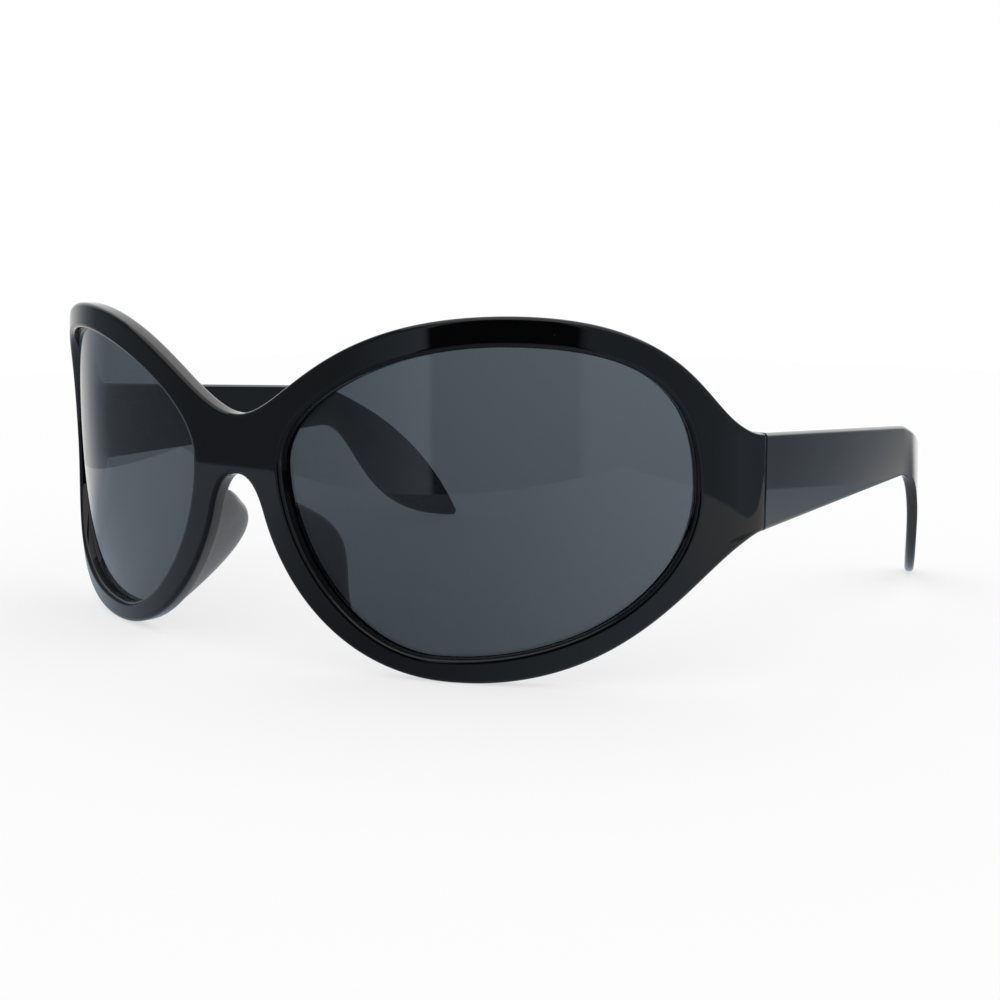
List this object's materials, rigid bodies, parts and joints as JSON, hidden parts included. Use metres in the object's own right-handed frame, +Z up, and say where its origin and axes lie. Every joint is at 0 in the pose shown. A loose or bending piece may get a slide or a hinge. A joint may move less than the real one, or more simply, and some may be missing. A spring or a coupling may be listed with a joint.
{
  "type": "sunglasses",
  "caption": "Oversized wrap-around sunglasses with a glossy moulded front, dark round lenses set in grooves, fixed nose pads and wide temples that fold on barrel hinges.",
  "frame": {"origin": "centre of the bounding box in plan, at the height of the table that the open glasses stand on", "axes": "+Z up, the lenses face -Y, the temples run back to +Y, and the wearer's left is +X"},
  "size_m": [0.1522, 0.1354, 0.0566],
  "materials": {
    "front_plastic": "polished jet black",
    "temple_plastic": "polished jet black",
    "pad_plastic": "polished black, softer gloss",
    "tinted_lens": "dark grey tint, polished",
    "hinge_metal": "black lacquered nickel silver",
    "screw_steel": "blackened stainless steel",
    "core_wire": "drawn wire"
  },
  "bodies": {
    "front": {"frame_front": "front_plastic", "lens_left": "tinted_lens", "lens_right": "tinted_lens", "nose_pad_left": "pad_plastic", "nose_pad_right": "pad_plastic", "hinge_front_leaf_left": "hinge_metal", "hinge_front_leaf_right": "hinge_metal", "hinge_screw_left": "screw_steel", "hinge_screw_right": "screw_steel"},
    "left_temple": {"temple_left": "temple_plastic", "temple_core_left": "core_wire", "hinge_temple_leaf_left": "hinge_metal"},
    "right_temple": {"temple_right": "temple_plastic", "temple_core_right": "core_wire", "hinge_temple_leaf_right": "hinge_metal"}
  },
  "joints": [
    {"name": "left_hinge", "type": "hinge", "parent": "front", "child": "left_temple", "pos_m": [0.0698, -0.03085, 0.0312], "axis": [0, 0, 1], "range_deg": [0, 93]},
    {"name": "right_hinge", "type": "hinge", "parent": "front", "child": "right_temple", "pos_m": [-0.0698, -0.03085, 0.0312], "axis": [0, 0, -1], "range_deg": [0, 86]}
  ]
}
